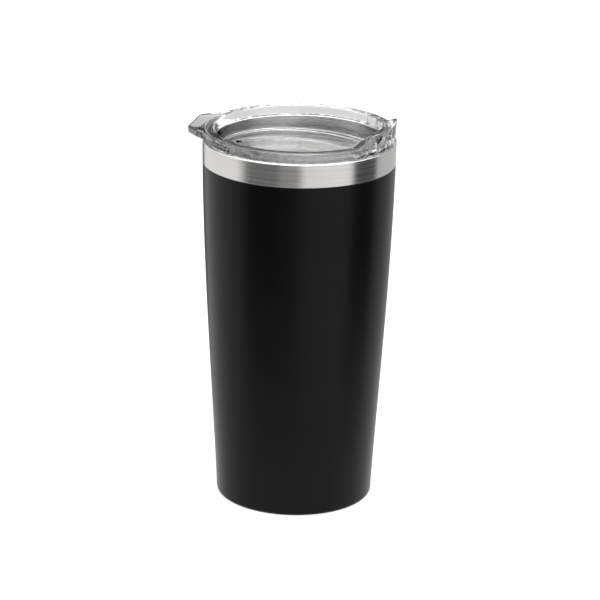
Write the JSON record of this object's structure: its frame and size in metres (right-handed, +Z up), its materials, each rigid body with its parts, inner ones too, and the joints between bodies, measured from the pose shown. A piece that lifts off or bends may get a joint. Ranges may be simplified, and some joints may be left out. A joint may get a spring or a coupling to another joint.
{
  "type": "insulated tumbler with lid",
  "caption": "Double-wall steel tumbler with a black coated body, a bare steel rim band and a clear press-in lid that has a raised sip spout, a sip slot and a thumb tab.",
  "frame": {"origin": "centre of the foot, on the surface that the cup stands on", "axes": "+Z up along the cup's axis, +X towards the lid's sip spout; the thumb tab stands 7 degrees off -X, towards -Y"},
  "size_m": [0.0947, 0.088, 0.18],
  "materials": {
    "bare_steel": "fine brushing around the band",
    "black_coat": "satin powder coat with a very fine texture",
    "liner_steel": "satin turned inside",
    "pressed_steel": "plain pressed sheet",
    "solder_glass": "melted bead",
    "getter_alloy": "sintered, matte",
    "clear_plastic": "clear polished moulding",
    "clear_silicone": "soft translucent"
  },
  "bodies": {
    "cup": {"outer_shell": "bare_steel", "powder_coat": "black_coat", "inner_liner": "liner_steel", "vacuum_bottom": "pressed_steel", "bottom_cover": "pressed_steel", "seal_bead": "solder_glass", "getter": "getter_alloy"},
    "gasket": {"lid_gasket": "clear_silicone"},
    "lid": {"lid_body": "clear_plastic"}
  },
  "joints": [
    {"name": "lid_lift", "type": "slide", "parent": "cup", "child": "gasket", "axis": [0, 0, 1], "range_m": [0, 0.12]},
    {"name": "lid_turn", "type": "hinge", "parent": "gasket", "child": "lid", "pos_m": [0, 0, 0.17], "axis": [0, 0, 1], "continuous": true}
  ]
}
